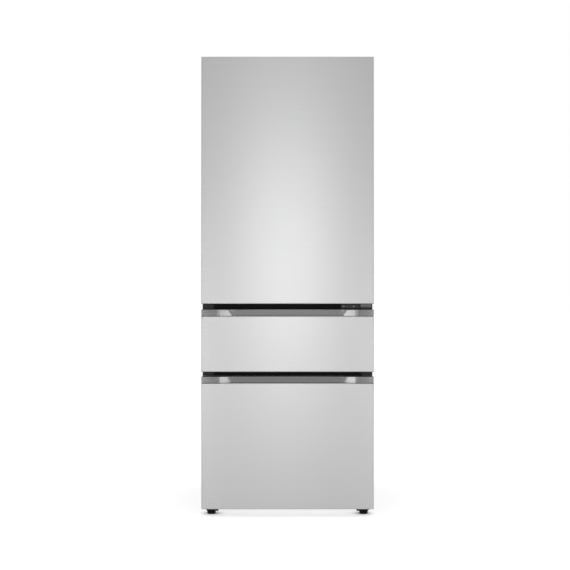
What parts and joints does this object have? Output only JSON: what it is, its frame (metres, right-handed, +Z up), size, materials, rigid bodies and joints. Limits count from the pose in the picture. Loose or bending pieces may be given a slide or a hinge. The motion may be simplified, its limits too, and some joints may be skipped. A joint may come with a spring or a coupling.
{
  "type": "kimchi refrigerator",
  "caption": "Tall free-standing kimchi refrigerator: hinged steel upper door with bins, pull-out drawers with recessed grips and lidded containers, rear machine room, levelling feet.",
  "frame": {"origin": "centre of the bounding box's bottom face: on the floor, midway between the sides and between the fronts and the rear cover", "axes": "+X to the viewer's right when facing the fronts, +Y to the back, +Z up"},
  "size_m": [0.666, 0.73, 1.78],
  "materials": {
    "brushed_skin": "satin",
    "grip_metal": "satin",
    "case_paint": "satin",
    "case_plastic": "satin",
    "black_steel": "satin",
    "galvanised_steel": "satin",
    "hinge_steel": "satin",
    "hinge_paint": "satin",
    "rail_steel": "satin",
    "coil_metal": "satin",
    "copper_tube": "satin",
    "foam": "matte",
    "liner_plastic": "satin",
    "white_plastic": "satin",
    "black_plastic": "satin",
    "black_rubber": "matte",
    "gasket_rubber": "satin",
    "clear_plastic": "gloss",
    "shelf_glass": "gloss",
    "container_plastic": "satin",
    "lid_plastic": "satin"
  },
  "bodies": {
    "cabinet": {"left_side_panel": "case_paint", "right_side_panel": "case_paint", "top_panel": "case_paint", "back_panel": "galvanised_steel", "front_rails": "black_steel", "machine_base": "galvanised_steel", "cabinet_foam": "foam", "upper_liner": "liner_plastic", "middle_liner": "liner_plastic", "lower_liner": "liner_plastic", "shelf_glasses": "shelf_glass", "duct_panel": "liner_plastic", "evaporator": "coil_metal", "evaporator_fan_motor": "black_plastic", "control_panel": "liner_plastic", "top_hinge": "hinge_steel", "top_hinge_cover": "case_plastic", "mid_hinge": "hinge_paint", "screws": "hinge_steel", "base_brackets": "black_steel", "compressor": "black_steel", "compressor_mounts": "black_rubber", "condenser": "black_steel", "condenser_fan_motor": "black_plastic", "drain_tray": "black_plastic", "refrigerant_pipes": "copper_tube", "machine_cover": "galvanised_steel", "control_board_box": "galvanised_steel", "fixed_rails": "rail_steel"},
    "upper_door": {"upper_door_skin": "brushed_skin", "upper_door_foam": "foam", "upper_door_liner": "liner_plastic", "upper_door_gasket": "gasket_rubber", "door_bins": "clear_plastic"},
    "middle_drawer": {"middle_front_skin": "brushed_skin", "middle_grip": "grip_metal", "middle_front_foam": "foam", "middle_front_liner": "liner_plastic", "middle_gasket": "gasket_rubber", "middle_basket": "liner_plastic", "middle_containers": "container_plastic", "middle_lids": "lid_plastic", "middle_rail_slides": "rail_steel"},
    "middle_links": {"middle_rail_links": "rail_steel"},
    "lower_drawer": {"lower_front_skin": "brushed_skin", "lower_grip": "grip_metal", "lower_front_foam": "foam", "lower_front_liner": "liner_plastic", "lower_gasket": "gasket_rubber", "lower_basket": "liner_plastic", "lower_containers": "container_plastic", "lower_lids": "lid_plastic", "lower_rail_slides": "rail_steel"},
    "lower_links": {"lower_rail_links": "rail_steel"},
    "evaporator_fan": {"evaporator_fan": "white_plastic"},
    "condenser_fan": {"condenser_fan": "white_plastic"},
    "left_roller": {"left_roller": "black_plastic"},
    "right_roller": {"right_roller": "black_plastic"},
    "left_foot": {"left_foot": "black_plastic"},
    "right_foot": {"right_foot": "black_plastic"}
  },
  "joints": [
    {"name": "upper_door_swing", "type": "hinge", "parent": "cabinet", "child": "upper_door", "pos_m": [0.311, -0.331, 1.3], "axis": [0, 0, 1], "range_deg": [0, 120]},
    {"name": "middle_drawer_slide", "type": "slide", "parent": "cabinet", "child": "middle_drawer", "axis": [0, -1, 0], "range_m": [0, 0.45]},
    {"name": "middle_link_slide", "type": "slide", "parent": "cabinet", "child": "middle_links", "axis": [0, -1, 0], "range_m": [0, 0.225]},
    {"name": "lower_drawer_slide", "type": "slide", "parent": "cabinet", "child": "lower_drawer", "axis": [0, -1, 0], "range_m": [0, 0.38]},
    {"name": "lower_link_slide", "type": "slide", "parent": "cabinet", "child": "lower_links", "axis": [0, -1, 0], "range_m": [0, 0.19]},
    {"name": "evaporator_fan_spin", "type": "hinge", "parent": "cabinet", "child": "evaporator_fan", "pos_m": [0, 0.25, 1.594], "axis": [0, 1, 0], "continuous": true},
    {"name": "condenser_fan_spin", "type": "hinge", "parent": "cabinet", "child": "condenser_fan", "pos_m": [0.016, 0.264, 0.132], "axis": [1, 0, 0], "continuous": true},
    {"name": "left_roller_spin", "type": "hinge", "parent": "cabinet", "child": "left_roller", "pos_m": [-0.27, 0.295, 0.014], "axis": [1, 0, 0], "continuous": true},
    {"name": "right_roller_spin", "type": "hinge", "parent": "cabinet", "child": "right_roller", "pos_m": [0.27, 0.295, 0.014], "axis": [1, 0, 0], "continuous": true},
    {"name": "left_foot_level", "type": "slide", "parent": "cabinet", "child": "left_foot", "axis": [0, 0, -1], "range_m": [0, 0.01]},
    {"name": "right_foot_level", "type": "slide", "parent": "cabinet", "child": "right_foot", "axis": [0, 0, -1], "range_m": [0, 0.01]}
  ],
  "couplings": [
    {"joint": "middle_link_slide", "follows": "middle_drawer_slide", "ratio": 0.5},
    {"joint": "lower_link_slide", "follows": "lower_drawer_slide", "ratio": 0.5}
  ]
}
